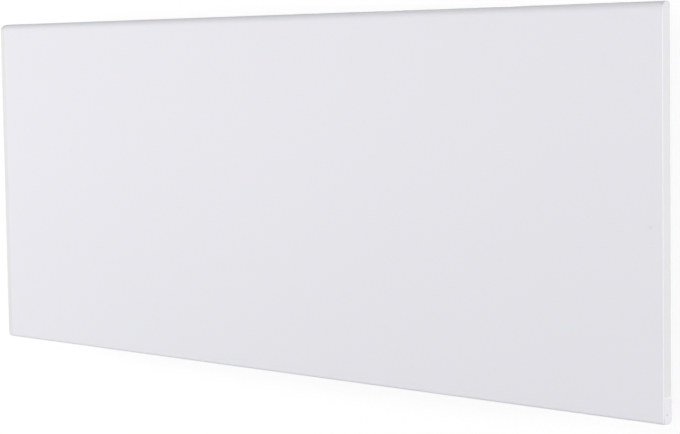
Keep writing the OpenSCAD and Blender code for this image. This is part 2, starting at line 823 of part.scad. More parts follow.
// Bent sheet that guides the air and shades the casing's back
module rear_baffle() {
  z1 = baffle_h / 2;
  gap_y = casing_in_y - fit;
  color("silver") difference() {
    along_x(casing_x0 + 14, box_x0 - 8) {
      translate([baffle_y0, -z1]) square([baffle_t, baffle_h]);
      for (s = [-1, 1]) {
        translate([baffle_y0, s * (z1 - baffle_t / 2) - baffle_t / 2])
          square([gap_y - baffle_y0, baffle_t]);
        translate([gap_y - baffle_t, s * (z1 + baffle_lip / 2 - baffle_t) - baffle_lip / 2])
          square([baffle_t, baffle_lip]);
      }
    }
    for (i = [-8 : 7], s = [-1, 1])
      translate([(casing_x0 + box_x0) / 2 + (i + 0.5) * 38, 0, s * (z1 - 14)])
        along_y(baffle_y0 - cut, baffle_y1 + cut) stadium(26, 5);
  }
}

// Both runs of the heating rod, joined by a bend at the left
module element_sheath() {
  color("dimgray") {
    for (s = [-1, 1])
      translate([0, rod_y + s * rod_pitch / 2, rod_pz]) along_x(rod_x0, rod_x1) circle(rod_r);
    translate([rod_x0, rod_y, rod_pz]) rotate([0, 0, 90])
      rotate_extrude(angle = 180) translate([rod_pitch / 2, 0]) circle(rod_r);
  }
}

// Aluminium fins with collars, pressed on the rod
module element_fins() {
  span = bracket_x1 - bracket_x0 - 2 * fin_gap;
  n = floor(span / fin_pitch);
  collar = 1.4;
  color("lightgray") for (i = [0 : n])
    translate([bracket_x0 + fin_gap + (span - n * fin_pitch) / 2 + i * fin_pitch, rod_y, rod_pz])
      difference() {
        union() {
          along_x(-fin_t / 2, fin_t / 2) difference() {
            rounded_rect(-fin_d / 2, -fin_h / 2, fin_d / 2, fin_h / 2, [4, 4, 4, 4]);
            square([3, fin_h - 12], center = true);
          }
          for (s = [-1, 1])
            translate([0, s * rod_pitch / 2, 0]) along_x(0, fin_t / 2 + collar) circle(rod_r + 0.7);
        }
        for (s = [-1, 1])
          translate([0, s * rod_pitch / 2, 0])
            along_x(-fin_t, fin_t + collar + cut) circle(rod_r + fit / 2);
      }
}

// Sheet bracket that carries the rod in bushes, screwed to the casing's bottom
module element_bracket(x, foot_side) {
  z1 = rod_pz + bush_r + 6;
  w = rod_pitch + 2 * bush_r + 4;
  foot_l = 14;
  difference() {
    union() {
      translate([x, 0, 0]) along_x(-bracket_t / 2, bracket_t / 2)
        rounded_rect(rod_y - w / 2, floor_z, rod_y + w / 2, z1, [0, 0, 6, 6]);
      block([min(x, x + foot_side * foot_l), rod_y - w / 2, floor_z],
        [max(x, x + foot_side * foot_l), rod_y + w / 2, floor_z + bracket_t]);
    }
    for (s = [-1, 1])
      translate([x, rod_y + s * rod_pitch / 2, rod_pz])
        along_x(-bracket_t, bracket_t) circle(bush_r - 1.4 + fit);
    translate([x, rod_y, floor_z + 17]) along_x(-bracket_t, bracket_t) stadium(w - 16, 10);
    at_bracket_screws() translate([0, 0, floor_z - cut]) cylinder(r = screw_r + fit, h = 4);
  }
}
module element_bracket_left() {
  color("silver") element_bracket(bracket_x0, -1);
}
module element_bracket_right() {
  color("silver") element_bracket(bracket_x1, 1);
}

// Screws that hold the element brackets to the bottom
module at_bracket_screws() {
  for (p = [bracket_x0 - 8, bracket_x1 + 8], s = [-1, 1])
    translate([p, rod_y + s * rod_pitch / 2, 0]) children();
}
module bracket_screws() {
  color("gray") at_bracket_screws() {
    translate([0, 0, floor_z + bracket_t]) cylinder(r = screw_head_r * 0.8, h = 1.8);
    translate([0, 0, casing_z0 - 4]) cylinder(r = screw_r, h = bracket_t + casing_sheet + 4.01);
  }
}

// Grooved ceramic bushes round the rod
module element_bushes() {
  color("ivory") for (x = [bracket_x0, bracket_x1], s = [-1, 1])
    translate([x, rod_y + s * rod_pitch / 2, rod_pz]) difference() {
      union() {
        for (d = [-1, 1]) translate([d * (bracket_t / 2 + fit + 1.2), 0, 0])
          along_x(-1.2, 1.2) circle(bush_r);
        along_x(-bracket_t / 2 - 1, bracket_t / 2 + 1) circle(bush_r - 1.4);
      }
      along_x(-6, 6) circle(rod_r + fit);
    }
}

// Ceramic ends of the rod
module element_insulators() {
  color("ivory") for (s = [-1, 1])
    translate([0, rod_y + s * rod_pitch / 2, rod_pz]) difference() {
      union() {
        along_x(rod_x1, rod_x1 + insulator_l) circle(rod_r - 0.5);
        along_x(rod_x1 + 2, rod_x1 + 4) circle(rod_r + 1);
      }
      along_x(rod_x1 + 1, rod_x1 + insulator_l + cut) circle(pin_r + fit / 2);
    }
}

// Terminal pins with their nuts
module element_pins() {
  color("goldenrod") for (s = [-1, 1])
    translate([0, rod_y + s * rod_pitch / 2, rod_pz]) {
      along_x(rod_x1 + 1.1, rod_x1 + insulator_l + pin_l) circle(pin_r);
      along_x(rod_x1 + insulator_l + 0.2, rod_x1 + insulator_l + 2.8) circle(3.5, $fn = 6);
    }
}

// Bracket that holds the cut-out over the fins
module cutout_bracket() {
  color("silver") translate([cutout_x, 0, 0]) difference() {
    union() {
      block([-13, baffle_y0 - 1, cutout_z - 1], [13, baffle_y0, cutout_z + 18]);
      block([-13, cutout_y - 12, cutout_z - 1], [13, baffle_y0, cutout_z]);
    }
    translate([0, cutout_y, cutout_z - 2]) cylinder(r = 6.4, h = 4);
    for (s = [-1, 1]) translate([s * 8, 0, cutout_z + 10])
      along_y(baffle_y0 - 2, baffle_y0 + 1) circle(1.6);
  }
}

// Disc thermal cut-out with its two blades
module thermal_cutout() {
  color("dimgray") translate([cutout_x, cutout_y, cutout_z]) {
    translate([0, 0, -7]) cylinder(r = 8.2, h = 6);
    translate([0, 0, -1.01]) cylinder(r = 6.2, h = 5.5);
    for (s = [-1, 1]) block([s * 3.6 - 0.4, -3.1, 4.4], [s * 3.6 + 0.4, 3.1, cutout_blade_h]);
  }
}

// Moulded box that holds the controls, open to the right
module control_box() {
  y0 = box_y - box_d / 2;
  y1 = box_y + box_d / 2;
  color("lightgray") difference() {
    union() {
      difference() {
        along_x(box_x0, box_x1) rounded_rect(y0, box_z0, y1, box_z1, [3, 3, 3, 3]);
        along_x(box_x0 + box_wall, box_x1 + cut)
          rounded_rect(y0 + box_wall, box_z0 + box_wall, y1 - box_wall, box_z1 - box_wall,
            [1, 1, 1, 1]);
      }
      // Posts for the board and pillars for the fascia's screws
      at_board_posts() along_x(box_x0 + 1, board_x0) circle(3.2);
      at_fascia_screws() along_x(box_x0 + 1, box_x1) circle(3.6);
    }
    at_board_posts() along_x(board_x0 - 8, board_x0 + cut) circle(1);
    at_fascia_screws() along_x(box_x1 - fascia_screw_l - 1, box_x1 + cut)
      circle(fascia_screw_r + fit);
    translate([gland_x, box_y, box_z0 - cut]) cylinder(r = gland_r - 2 + fit, h = box_wall + 2 * cut);
    translate([sensor_x, box_y, box_z0 - cut]) cylinder(r = sensor_r + fit, h = box_wall + 2 * cut);
    translate([0, rod_y, grommet_z]) along_x(box_x0 - cut, box_x0 + box_wall + cut)
      circle(grommet_r - 1.5 + fit);
    translate([box_x1 - 12, 0, connector_z]) along_y(y0 - cut, y0 + box_wall + cut)
      circle(lead_r + 1);
    translate([0, box_y + clamp_pitch, earth_hole_z]) along_x(box_x0 - cut, box_x0 + box_wall + cut)
      circle(lead_r + 0.3);
  }
}
module at_board_posts() {
  for (s = [-1, 1], u = [-1, 1])
    translate([0, box_y + s * board_post_y, knob_z + u * board_post_z]) children();
}
module at_fascia_screws() {
  for (s = [-1, 1], u = [-1, 1])
    translate([0, box_y + s * fascia_screw_y, (box_z0 + box_z1) / 2 + u * fascia_screw_z])
      children();
}

// Moulded fascia with the knob's recess and the rocker's window
module control_fascia() {
  mid_z = (box_z0 + box_z1) / 2;
  color("whitesmoke") difference() {
    union() {
      intersection() {
        along_x(fascia_x0, fascia_x1)
          rounded_rect(box_y - fascia_d / 2, mid_z - fascia_h / 2, box_y + fascia_d / 2,
            mid_z + fascia_h / 2, [5, 5, 5, 5]);
        along_z(mid_z - fascia_h / 2 - cut, mid_z + fascia_h / 2 + cut)
          rounded_rect(fascia_x0, box_y - fascia_d / 2, fascia_x1, box_y + fascia_d / 2,
            [0, 1.2, 1.2, 0]);
        along_y(box_y - fascia_d / 2 - cut, box_y + fascia_d / 2 + cut)
          rounded_rect(fascia_x0, mid_z - fascia_h / 2, fascia_x1, mid_z + fascia_h / 2,
            [0, 1.2, 1.2, 0]);
      }
      // Rim that drops into the box
      along_x(box_x1 - 3, fascia_x0 + 0.01) difference() {
        square_at(box_y, mid_z, box_d - 2 * box_wall - 2 * fit, box_h - 2 * box_wall - 2 * fit);
        square_at(box_y, mid_z, box_d - 4 * box_wall, box_h - 4 * box_wall);
        for (s = [-1, 1], u = [-1, 1])
          square_at(box_y + s * fascia_screw_y, mid_z + u * fascia_screw_z, 11, 11);
      }
    }
    // Sunk ring round the knob, and the spindle's hole
    translate([0, box_y, knob_z]) {
      along_x(fascia_x1 - 0.8, fascia_x1 + cut) difference() {
        circle(knob_r + 2.2);
        circle(knob_r + 1.4);
      }
      along_x(fascia_x0 - cut, fascia_x1 + cut) circle(spindle_r + running_gap);
    }
    translate([0, box_y, rocker_z]) along_x(fascia_x0 - cut, fascia_x1 + cut)
      square([rocker_w, rocker_h], center = true);
    at_fascia_screws() {
      along_x(fascia_x0 - cut, fascia_x1 + cut) circle(fascia_screw_r + fit);
      along_x(fascia_x1 - fascia_head_h - 0.2, fascia_x1 + cut) circle(fascia_head_r + 0.2);
    }
  }
}

// A centred rectangle at a place
module square_at(y, z, w, h) {
  translate([y, z]) square([w, h], center = true);
}

// Screws of the fascia, sunk flush with it
module fascia_screws() {
  color("gray") at_fascia_screws() {
    along_x(fascia_x1 - fascia_head_h - 0.1, fascia_x1 - 0.1) difference() {
      circle(fascia_head_r);
      square([1.3 * fascia_head_r, fascia_head_r / 4], center = true);
      square([fascia_head_r / 4, 1.3 * fascia_head_r], center = true);
    }
    along_x(box_x1 - fascia_screw_l, fascia_x1 - fascia_head_h - 0.09) circle(fascia_screw_r);
  }
}

// Circuit board with its relay, supply and capacitors
module control_board() {
  z0 = knob_z - board_half_h;
  z1 = knob_z + board_half_h;
  w = box_d - 8;
  color("darkgreen") difference() {
    union() {
      block([board_x0, box_y - w / 2, z0], [board_x1, box_y + w / 2, z1]);
      // Relay and supply on the back of the board
      block([board_x0 - relay_d, box_y - 6.5, relay_z0], [board_x0, box_y + 8.5, knob_z + 2]);
      block([board_x0 - supply_d, box_y - 9, knob_z + 7],
        [board_x0, box_y + 9, knob_z + board_half_h - 2.6]);
      // Capacitors and a row of solder posts on the front
      for (i = [-1, 1])
        translate([0, box_y + i * 11, knob_z - 17]) along_x(board_x1, board_x1 + 12) circle(4);
      for (i = [-2 : 2])
        block([board_x1, box_y + i * 5 - 1, z1 - 5], [board_x1 + 3, box_y + i * 5 + 1, z1 - 3]);
      // Plug of the signal cable
      block([board_x1, box_y - 14, connector_z - 4], [board_x1 + 9.5, box_y - 9, connector_z + 4]);
    }
    at_board_posts() along_x(board_x0 - cut, board_x1 + cut) circle(1.2);
  }
}

// Body of the thermostat's control, on the board behind the knob
module thermostat_body() {
  color("slategray") translate([0, box_y, knob_z]) difference() {
    union() {
      along_x(board_x1, board_x1 + pot_l)
        rounded_rect(-pot_w / 2, -pot_w / 2, pot_w / 2, pot_w / 2, [2, 2, 2, 2]);
      along_x(board_x1 + pot_l - 0.01, board_x1 + pot_l + 5) circle(spindle_r + 1.6);
    }
    along_x(board_x1 + 2, board_x1 + pot_l + 6) circle(spindle_r + fit / 2);
  }
}

// D-shaped spindle that the knob sits on
module thermostat_spindle() {
  color("silver") translate([0, box_y, knob_z]) {
    along_x(board_x1 + 2.3, fascia_x1) circle(spindle_r);
    along_x(fascia_x1 - 0.01, knob_x1 - 3) difference() {
      circle(spindle_r);
      translate([-spindle_r, spindle_r * 0.5]) square([2 * spindle_r, spindle_r]);
    }
  }
}

// Knob with a fluted rim, a skirt and a raised pointer
module thermostat_knob() {
  flutes = 24;
  color("white") translate([0, box_y, knob_z]) difference() {
    union() {
      along_x(knob_x0, knob_x0 + 2) circle(knob_r);
      along_x(knob_x0, knob_x1 - 1) circle(knob_r - 2);
      translate([knob_x1 - 1, 0, 0]) rotate([0, 90, 0]) cylinder(r1 = knob_r - 2, r2 = knob_r - 3, h = 1);
      block([knob_x1 - 0.5, -1, 2], [knob_x1 + 0.6, 1, knob_r - 4]);
    }
    for (k = [0 : flutes - 1])
      rotate([k * 360 / flutes, 0, 0]) translate([0, 0, knob_r - 1.5])
        along_x(knob_x0 + 2.6, knob_x1 + cut) circle(0.9, $fn = 24);
    along_x(knob_x0 - cut, knob_x1 - 2.8) difference() {
      circle(spindle_r + fit / 2);
      translate([-spindle_r, spindle_r * 0.5 + fit]) square([2 * spindle_r, spindle_r]);
    }
    along_x(knob_x0 - cut, knob_x0 + 6) difference() {
      circle(knob_r - 4);
      circle(spindle_r + 2);
    }
  }
}

// Snap-in frame of the mains switch
module rocker_frame() {
  bezel = 2;
  color("black") translate([0, box_y, rocker_z]) difference() {
    union() {
      along_x(fascia_x1, fascia_x1 + 1.6)
        rounded_rect(-rocker_w / 2 - bezel, -rocker_h / 2 - bezel, rocker_w / 2 + bezel,
          rocker_h / 2 + bezel, [1.5, 1.5, 1.5, 1.5]);
      along_x(fascia_x0 - switch_l, fascia_x1 + 0.01)
        square([rocker_w - 2 * fit, rocker_h - 2 * fit], center = true);
      for (u = [-1 : 1])
        block([fascia_x0 - blade_l, -2.4, u * blade_gap - 0.4],
          [fascia_x0 - switch_l + 0.1, 2.4, u * blade_gap + 0.4]);
    }
    along_x(fascia_x0 - 10, fascia_x1 + 2 + cut)
      square([rocker_w - 3, rocker_h - 3], center = true);
    translate([rocker_px, 0, 0]) along_y(-rocker_w / 2, rocker_w / 2) circle(rocker_pin_r + fit);
  }
}

// Rocker, tilted to off, with its pivot studs
module rocker() {
  half = (rocker_h - 3) / 2 - running_gap - 0.2;
  w = rocker_w - 3 - 2 * running_gap;
  color("black") translate([rocker_px, box_y, rocker_z]) rotate([0, -rocker_tilt, 0]) {
    along_y(-w / 2, w / 2) difference() {
      polygon([[-5, -3.5], [-5, 3.5], [1, half - 0.6], [4.6, half - 0.9], [2.4, 0],
        [4.6, -half + 0.9], [1, -half + 0.6]]);
      translate([19.6, 0]) circle(17, $fn = 96);
    }
    along_y(-w / 2 - 0.9, w / 2 + 0.9) circle(rocker_pin_r);
  }
}

// Three-way terminal block at the back of the box
module terminal_block() {
  x0 = box_x0 + box_wall;
  color("gainsboro") translate([x0, box_y, box_z0 + terminal_z]) difference() {
    union() {
      block([0, -15, -9], [4, 15, 9]);
      for (i = [-1 : 1]) translate([0, i * clamp_pitch, 0]) along_x(3.9, 12)
        rounded_rect(-4.2, -7.5, 4.2, 7.5, [2, 2, 2, 2]);
    }
    for (i = [-1 : 1], u = [-1, 1]) {
      translate([0, i * clamp_pitch, u * 4]) along_x(7, 13) circle(1.8);
      translate([clamp_depth, i * clamp_pitch, u > 0 ? 4 : -10]) cylinder(r = lead_r + 0.4, h = 6);
    }
  }
}

// Silicone grommet where the leads go into the box
module lead_grommet() {
  color("firebrick") translate([0, rod_y, grommet_z]) difference() {
    union() {
      for (x = [box_x0 - 1.6, box_x0 + box_wall + fit]) along_x(x - fit, x + 1.5) circle(grommet_r);
      along_x(box_x0 - 1, box_x0 + box_wall + 1) circle(grommet_r - 1.5);
    }
    for (s = [-1, 1]) translate([0, s * 1.9, 0])
      along_x(box_x0 - 3, box_x0 + box_wall + 4) circle(lead_r + fit);
  }
}

// Air temperature probe in the casing's bottom
module air_sensor() {
  color("black") translate([sensor_x, box_y, 0]) {
    translate([0, 0, casing_z0 - 5]) cylinder(r = sensor_r, h = 16);
    translate([0, 0, casing_z0 - 5]) sphere(sensor_r);
    translate([0, 0, box_z0 + box_wall]) cylinder(r = sensor_r + 1.6, h = 2);
  }
}

// Cable gland in the casing's bottom
module cable_gland() {
  color("gray") translate([gland_x, box_y, 0]) difference() {
    union() {
      translate([0, 0, gland_z0]) cylinder(r1 = gland_r - 2, r2 = gland_r, h = 3);
      translate([0, 0, gland_z0 + 3]) cylinder(r = gland_r, h = casing_z0 - gland_z0 - 3);
      translate([0, 0, casing_z0 - 0.01]) cylinder(r = gland_r - 2, h = gland_z1 - casing_z0);
      translate([0, 0, box_z0 + box_wall]) cylinder(r = gland_r, h = 3, $fn = 6);
    }
    translate([0, 0, gland_z0 - cut]) cylinder(r = gland_bore_r, h = gland_z1 - gland_z0 + 2 * cut);
  }
}

// Earth screw on the casing's bottom, between the element and the box
module earth_screw() {
  color("goldenrod") translate([earth_x, earth_y, 0]) {
    translate([0, 0, casing_z0 - 3]) cylinder(r = screw_r, h = 10);
    translate([0, 0, floor_z]) cylinder(r = 3.6, h = 2.2, $fn = 6);
    translate([0, 0, floor_z + 3.4]) cylinder(r = 3.6, h = 2.2, $fn = 6);
  }
}

// Insulated leads from the pins and the cut-out to the grommet
module heating_leads() {
  pin_x = rod_x1 + insulator_l + pin_l + 0.1;
  relay_x = board_x0 - relay_d - 0.1;
  relay_drop = 20;
  relay_z = knob_z - relay_drop;
  y_in = rod_y - 1.9;
  y_out = rod_y + 1.9;
  blade_z = cutout_z + cutout_blade_h + 0.3;
  color("white") {
    // Front pin to the box
    lead([[pin_x, rod_y - rod_pitch / 2, rod_pz], [pin_x + 1.5, rod_y - rod_pitch / 2, rod_pz],
      [pin_x + 3.5, rod_y - rod_pitch / 2 + 0.5, rod_pz + 0.3],
      [box_x0 - 9, y_in - 0.5, grommet_z - 0.5], [box_x0 - 4, y_in, grommet_z],
      [box_x0 + 6, y_in, grommet_z], [box_x0 + 11, y_in, grommet_z],
      [relay_x - 8, y_in, relay_z], [relay_x - 2, y_in, relay_z],
      [relay_x, y_in, relay_z]], lead_r, 4);
    // Right blade of the cut-out to the box
    lead([[cutout_x + 3.6, cutout_y, blade_z], [cutout_x + 3.6, cutout_y, blade_z + 5],
      [cutout_x + 14, rod_y + 8, blade_z + 9], [cutout_x + 44, rod_y + 15, blade_z + 2],
      [cutout_x + 80, rod_y + 14, blade_z - 10], [box_x0 - 18, rod_y + 7, grommet_z + 14],
      [box_x0 - 9, y_out + 0.5, grommet_z + 0.7], [box_x0 - 4, y_out, grommet_z],
      [box_x0 + 6, y_out, grommet_z], [box_x0 + 11, y_out, grommet_z],
      [relay_x - 8, y_out, relay_z], [relay_x - 2, y_out, relay_z],
      [relay_x, y_out, relay_z]], lead_r, 4);
    // Rear pin to the left blade of the cut-out
    lead([[pin_x, rod_y + rod_pitch / 2, rod_pz], [pin_x + 1.5, rod_y + rod_pitch / 2, rod_pz],
      [pin_x + 3.5, rod_y + rod_pitch / 2, rod_pz + 0.4],
      [pin_x + 7, rod_y + 16, rod_pz + 8], [pin_x - 4, rod_y + 20, rod_pz + 28],
      [cutout_x + 66, rod_y + 20, blade_z - 4], [cutout_x + 30, rod_y + 20, blade_z + 6],
      [cutout_x + 4, rod_y + 14, blade_z + 12], [cutout_x - 3.6, cutout_y + 4, blade_z + 9],
      [cutout_x - 3.6, cutout_y, blade_z + 4], [cutout_x - 3.6, cutout_y, blade_z]], lead_r, 4);
  }
}

// Leads between the terminal block, the mains switch and the board
module mains_leads() {
  x0 = box_x0 + box_wall + clamp_depth;
  z0 = box_z0 + terminal_z + 5;
  blade_x = fascia_x0 - blade_l - 0.1;
  supply_x = board_x0 - supply_d - 0.1;
  color("saddlebrown") {
    // Live clamp to the switch
    lead([[x0, box_y - clamp_pitch, z0], [x0, box_y - clamp_pitch, z0 + 4],
      [x0, box_y - clamp_pitch, z0 + 5], [x0 + 12, box_y - 8, z0 + 4],
      [x0 + 26, box_y - 3, rocker_z + blade_gap], [blade_x - 3, box_y, rocker_z + blade_gap],
      [blade_x - 1, box_y, rocker_z + blade_gap], [blade_x, box_y, rocker_z + blade_gap]], lead_r, 4);
    // Switch to the relay's underside
    lead([[blade_x, box_y, rocker_z], [blade_x - 1, box_y, rocker_z],
      [blade_x - 3, box_y + 0.5, rocker_z], [blade_x - 7, box_y + 6, rocker_z + 3],
      [blade_x - 7, box_y + 7, rocker_z + 10], [blade_x - 5, box_y + 4, relay_z0 - 4],
      [blade_x - 5, box_y + 4, relay_z0 - 2], [blade_x - 5, box_y + 4, relay_z0 - 0.1]], lead_r, 4);
    // Neutral clamp to the supply
    lead([[x0, box_y, z0], [x0, box_y, z0 + 4], [x0, box_y, z0 + 5],
      [x0 + 3, box_y + 5, z0 + 10], [x0 + 9, box_y + 6, z0 + 20], [x0 + 15, box_y + 6, knob_z],
      [supply_x - 3, box_y + 3, knob_z + 15], [supply_x - 1, box_y + 3, knob_z + 15],
      [supply_x, box_y + 3, knob_z + 15]], lead_r, 4);
  }
}

// Earth lead with its ring tag, from the earth screw to the terminal block
module earth_lead() {
  tag_z = floor_z + 2.8;
  tag_l = 5;
  clamp_x = box_x0 + box_wall + clamp_depth;
  clamp_y = box_y + clamp_pitch;
  clamp_z = box_z0 + terminal_z - 5;
  color("yellowgreen") {
    translate([earth_x, earth_y, tag_z - 0.5]) difference() {
      union() {
        cylinder(r = 3.4, h = 1);
        block([-1.5, -tag_l, 0], [1.5, 0, 1]);
      }
      translate([0, 0, -cut]) cylinder(r = screw_r + fit, h = 1 + 2 * cut);
    }
    lead([[earth_x, earth_y - tag_l - 0.05, tag_z], [earth_x, earth_y - tag_l - 1, tag_z],
      [earth_x, earth_y - tag_l - 2.5, tag_z + 0.5], [earth_x + 2, clamp_y, earth_hole_z - 5],
      [box_x0 - 4, clamp_y, earth_hole_z], [box_x0 - 1, clamp_y, earth_hole_z],
      [box_x0 + box_wall + 1, clamp_y, earth_hole_z], [clamp_x - 3, clamp_y, earth_hole_z + 1],
      [clamp_x - 0.5, clamp_y, earth_hole_z + 4], [clamp_x, clamp_y, clamp_z - 4.5],
      [clamp_x, clamp_y, clamp_z - 3], [clamp_x, clamp_y, clamp_z]], lead_r, 4);
  }
}

// Cable from the control board to the signal board
module signal_cable() {
  x = box_x1 - 12;
  y_run = cavity_mid_y;
  color("dimgray") lead([[x, box_y - 14.1, connector_z], [x, box_y - 17, connector_z],
    [x, shield_y1 + 3, connector_z], [x + 1, shield_y0 - 1, connector_z],
    [x + 5, y_run, connector_z], [x + 12, y_run, connector_z],
    [signal_x0 - 4, y_run, connector_z], [signal_x0 + 0.4, y_run, connector_z]], lead_r, 4);
}

// Screws through the flanges
module casing_screws() {
  head_y = back_y + casing_sheet;
  color("gray") at_flange_screws() {
    along_y(head_y, head_y + screw_head_h) difference() {
      circle(screw_head_r);
      square([screw_head_r * 1.1, 0.9], center = true);
      square([0.9, screw_head_r * 1.1], center = true);
    }
    along_y(shield_y0 - 3.5, head_y + 0.6) circle(screw_r);
  }
}

// Feet that keep the heater's lower edge off the wall
module at_bumpers() {
  for (s = [-1, 1])
    translate([s * (casing_w / 2 - 46), 0, casing_z0 + 30]) children();
}
module wall_bumpers() {
  color("gray") at_bumpers() {
    translate([0, casing_y, 0]) rotate([-90, 0, 0]) cylinder(r1 = bumper_r, r2 = bumper_r - 2.5, h = casing_gap - running_gap);
    along_y(casing_in_y - 1.5, casing_y + 0.01) circle(bumper_pin_r);
    translate([0, casing_in_y - 1.6, 0]) rotate([90, 0, 0]) cylinder(r1 = bumper_pin_r + 1, r2 = bumper_pin_r - 1, h = 2.4);
  }
}

// Bracket leg: a channel with four hooks along its front edges
module bracket_leg(x) {
  translate([x, 0, 0]) difference() {
    union() {
      along_z(-leg_h / 2, leg_h / 2) difference() {
        rounded_rect(-leg_w / 2, -leg_d, leg_w / 2, 0, [0, bracket_sheet, bracket_sheet, 0]);
        translate([-leg_w / 2 + bracket_sheet, -leg_d - cut])
          square([leg_w - 2 * bracket_sheet, leg_d - bracket_sheet + cut]);
      }
      for (s = [-1, 1], z = [-1, 1])
        translate([s * (leg_w - bracket_sheet) / 2, 0, z * hook_z])
          along_x(-bracket_sheet / 2, bracket_sheet / 2) hook_outline();
    }
    for (z = [-1, 1]) translate([0, 0, z * screw_rise / 2])
      along_y(-bracket_sheet - cut, cut) circle(wall_hole_r);
    // Corners of the channel's cheeks are cut back at the ends
    for (z = [-1, 1])
      translate([0, -leg_d, z * leg_h / 2]) rotate([45, 0, 0])
        cube([leg_w + 2 * cut, 12, 12], center = true);
    // The rail's tabs are riveted through the inner cheek
    for (z = [-1, 1]) translate([0, -leg_d / 2, z * rail_z])
      along_x(-sign(x) * leg_w / 2 - 3, -sign(x) * leg_w / 2 + 3)
        for (u = [-1, 1]) translate([0, u * 8]) circle(rivet_r + fit / 2);
  }
}

// Side outline of a hook: a seat that reaches through the casing and a tip that turns up
module hook_outline() {
  y0 = -leg_d - hook_reach - 1;
  translate([y0, -hook_floor]) square([hook_reach + 3, hook_floor]);
  translate([y0, -hook_floor]) square([hook_lip, hook_floor + hook_tip - hook_lip / 2]);
  translate([y0 + hook_lip / 2, hook_tip - hook_lip / 2]) circle(hook_lip / 2);
  // Root that joins the seat to the cheek
  polygon([[-leg_d - 0.01, -hook_floor], [-leg_d + 3, -hook_floor - 8], [-leg_d + 3, 0],
    [-leg_d - 0.01, 0]]);
}
module bracket_leg_left() {
  color("silver") bracket_leg(-leg_x);
}
module bracket_leg_right() {
  color("silver") bracket_leg(leg_x);
}

// Rail between the legs, with folded tabs and a pressed bead
module bracket_rail(z) {
  x1 = leg_x - leg_w / 2;
  tab_t = bracket_sheet;
  tab_d = leg_d - 2;
  color("silver") translate([0, 0, z]) difference() {
    union() {
      along_y(-bracket_sheet, 0) square([2 * x1, rail_h], center = true);
      for (s = [-1, 1])
        along_x(min(s * x1, s * (x1 - tab_t)), max(s * x1, s * (x1 - tab_t)))
          translate([-tab_d, -rail_h / 2]) square([tab_d, rail_h]);
      along_y(-bracket_sheet - 2.2, -bracket_sheet + 0.01) stadium(2 * x1 - 60, rail_h * 0.4);
    }
    along_y(-3, cut) stadium(2 * x1 - 60 - 3, rail_h * 0.4 - 3);
    translate([0, -leg_d / 2, 0]) for (s = [-1, 1])
      along_x(s * (x1 - tab_t / 2) - 2, s * (x1 - tab_t / 2) + 2)
        for (u = [-1, 1]) translate([0, u * 8]) circle(rivet_r + fit / 2);
  }
}
module bracket_top_rail() {
  bracket_rail(rail_z);
}
module bracket_bottom_rail() {
  bracket_rail(-rail_z);
}

// Rivets between the rails and the legs
module bracket_rivets() {
  x1 = leg_x - leg_w / 2;
  color("gray") for (s = [-1, 1], z = [-1, 1], u = [-1, 1])
    translate([s * x1, -leg_d / 2, z * rail_z + u * 8]) {
      along_x(-bracket_sheet, bracket_sheet) circle(rivet_r);
      for (d = [-1, 1])
        along_x(min(d * bracket_sheet, d * (bracket_sheet + 1.2)),
          max(d * bracket_sheet, d * (bracket_sheet + 1.2))) circle(rivet_r + 1.4);
    }
}

front_panel();
panel_stiffeners();
heat_shield();
left_end_cap();
right_end_cap();
standby_key();
key_lens();
key_plunger();
key_switch();
signal_board();
status_lens();
rear_casing();
outlet_grille();
inlet_grille();
casing_end_left();
casing_end_right();
rear_baffle();
element_sheath();
element_fins();
element_bracket_left();
element_bracket_right();
element_bushes();
element_insulators();
element_pins();
thermal_cutout();
cutout_bracket();
control_box();
control_fascia();
control_board();
thermostat_body();
thermostat_spindle();
thermostat_knob();
rocker_frame();
rocker();
terminal_block();
lead_grommet();
air_sensor();
cable_gland();
earth_screw();
heating_leads();
mains_leads();
earth_lead();
signal_cable();
casing_screws();
fascia_screws();
bracket_screws();
wall_bumpers();
bracket_leg_left();
bracket_leg_right();
bracket_top_rail();
bracket_bottom_rail();
bracket_rivets();
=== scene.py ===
import json
import math

import bmesh
import bpy
from mathutils import Matrix, Vector


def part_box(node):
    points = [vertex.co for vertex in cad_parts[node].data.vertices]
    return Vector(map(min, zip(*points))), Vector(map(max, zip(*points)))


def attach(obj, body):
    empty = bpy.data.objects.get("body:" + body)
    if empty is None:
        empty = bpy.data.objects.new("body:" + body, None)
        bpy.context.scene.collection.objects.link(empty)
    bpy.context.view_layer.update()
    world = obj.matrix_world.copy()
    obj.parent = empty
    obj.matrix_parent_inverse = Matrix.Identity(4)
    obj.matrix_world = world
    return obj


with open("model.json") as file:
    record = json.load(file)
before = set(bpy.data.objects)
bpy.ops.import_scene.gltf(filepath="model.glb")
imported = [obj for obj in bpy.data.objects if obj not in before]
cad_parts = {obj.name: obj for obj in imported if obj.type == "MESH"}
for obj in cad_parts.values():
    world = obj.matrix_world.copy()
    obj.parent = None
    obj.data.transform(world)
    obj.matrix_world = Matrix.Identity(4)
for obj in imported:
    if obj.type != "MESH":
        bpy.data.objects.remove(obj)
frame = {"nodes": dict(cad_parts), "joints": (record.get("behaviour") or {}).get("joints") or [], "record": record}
nodes = frame["nodes"]
joint = {row["name"]: row for row in frame["joints"]}
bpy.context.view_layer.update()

# The photograph's frame and the camera that sees the panel as it does, lengths in metres
IMAGE_WIDTH = 680
FOCAL_PX = 2062.617
SENSOR_MM = 36.0
CAMERA_AT = Vector((1.35707, -1.39762, 0.12541))
CAMERA_YAW = math.radians(-44.342)
CAMERA_PITCH = math.radians(-4.4275)
CAMERA_ROLL = math.radians(-0.88286)
CLIP_START = 0.05
CLIP_END = 60


